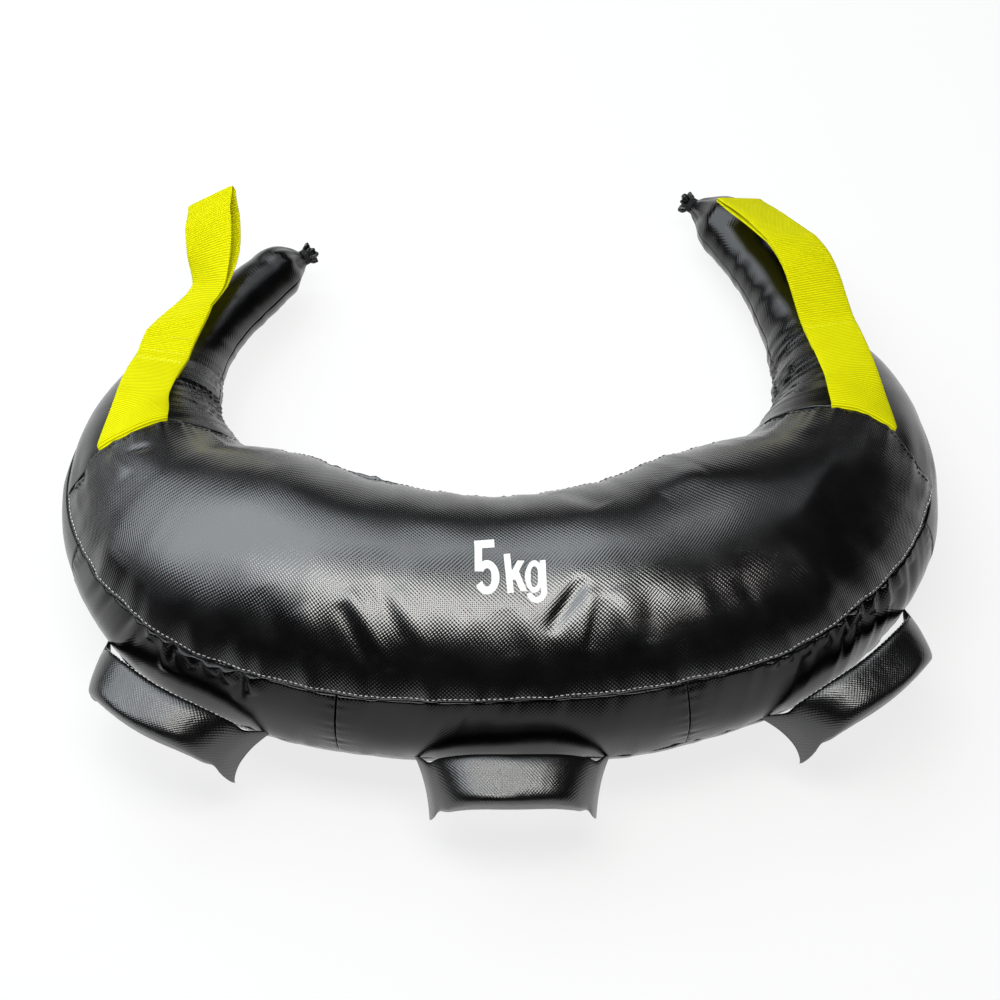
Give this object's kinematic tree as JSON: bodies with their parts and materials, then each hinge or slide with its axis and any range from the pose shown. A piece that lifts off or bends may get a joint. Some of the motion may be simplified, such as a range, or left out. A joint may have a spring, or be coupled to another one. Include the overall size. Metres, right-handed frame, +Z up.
{
  "type": "bulgarian bag",
  "caption": "Crescent-shaped stuffed training bag with tied horn handles, padded finger grips along its outer side and doubled webbing hand loops.",
  "frame": {"origin": "bottom of the bounding box, at its centre in X and Y, on the floor that the bag lies on", "axes": "+X from the left horn to the right horn, +Y from the belly towards the horn tips, +Z up"},
  "size_m": [0.605, 0.55, 0.1641],
  "materials": {
    "vinyl": "glossy embossed vinyl",
    "webbing": "ribbed woven webbing",
    "liner": "plain cotton liner",
    "foam": "closed-cell foam",
    "thread": "waxed cord"
  },
  "bodies": {
    "bag": {"top_panel": "vinyl", "bottom_panel": "vinyl", "gusset_left": "vinyl", "gusset_center": "vinyl", "gusset_right": "vinyl", "horn_left_upper": "vinyl", "horn_left_under": "vinyl", "horn_right_upper": "vinyl", "horn_right_under": "vinyl", "horn_left_tuft": "vinyl", "horn_right_tuft": "vinyl", "strap_left_anchor": "webbing", "strap_right_anchor": "webbing", "filler_bag": "liner", "horn_left_stuffing": "liner", "horn_right_stuffing": "liner", "horn_left_binding": "thread", "horn_right_binding": "thread"},
    "left_tail": {"strap_left_tail": "webbing"},
    "left_loop": {"strap_left_loop": "webbing"},
    "right_tail": {"strap_right_tail": "webbing"},
    "right_loop": {"strap_right_loop": "webbing"},
    "left_grip": {"grip_left_sleeve": "vinyl", "grip_left_core": "foam"},
    "center_grip": {"grip_center_sleeve": "vinyl", "grip_center_core": "foam"},
    "right_grip": {"grip_right_sleeve": "vinyl", "grip_right_core": "foam"}
  },
  "joints": [
    {"name": "left_tail_seam", "type": "hinge", "parent": "bag", "child": "left_tail", "pos_m": [-0.24774, -0.02064, 0.12717], "axis": [0.9712, -0.1061, 0.2133], "range_deg": [0, 60]},
    {"name": "left_loop_bar_tack", "type": "hinge", "parent": "left_tail", "child": "left_loop", "pos_m": [-0.23841, 0.06964, 0.09356], "axis": [0.9919, -0.1261, -0.0158], "range_deg": [0, 70]},
    {"name": "right_tail_seam", "type": "hinge", "parent": "bag", "child": "right_tail", "pos_m": [0.24547, -0.01067, 0.13005], "axis": [0.977, 0.0845, -0.1958], "range_deg": [0, 60]},
    {"name": "right_loop_bar_tack", "type": "hinge", "parent": "right_tail", "child": "right_loop", "pos_m": [0.23264, 0.0969, 0.10072], "axis": [0.9889, 0.1484, 0.0112], "range_deg": [0, 70]},
    {"name": "left_grip_seam", "type": "hinge", "parent": "bag", "child": "left_grip", "pos_m": [-0.21055, -0.18087, 0.05623], "axis": [-0.8377, 0.5459, -0.016], "range_deg": [-60, 10]},
    {"name": "center_grip_seam", "type": "hinge", "parent": "bag", "child": "center_grip", "pos_m": [0.00716, -0.23492, 0.05764], "axis": [-1, -0.0098, -0.0001], "range_deg": [-60, 10]},
    {"name": "right_grip_seam", "type": "hinge", "parent": "bag", "child": "right_grip", "pos_m": [0.225, -0.16213, 0.05538], "axis": [-0.76, -0.6497, 0.0171], "range_deg": [-60, 10]}
  ]
}
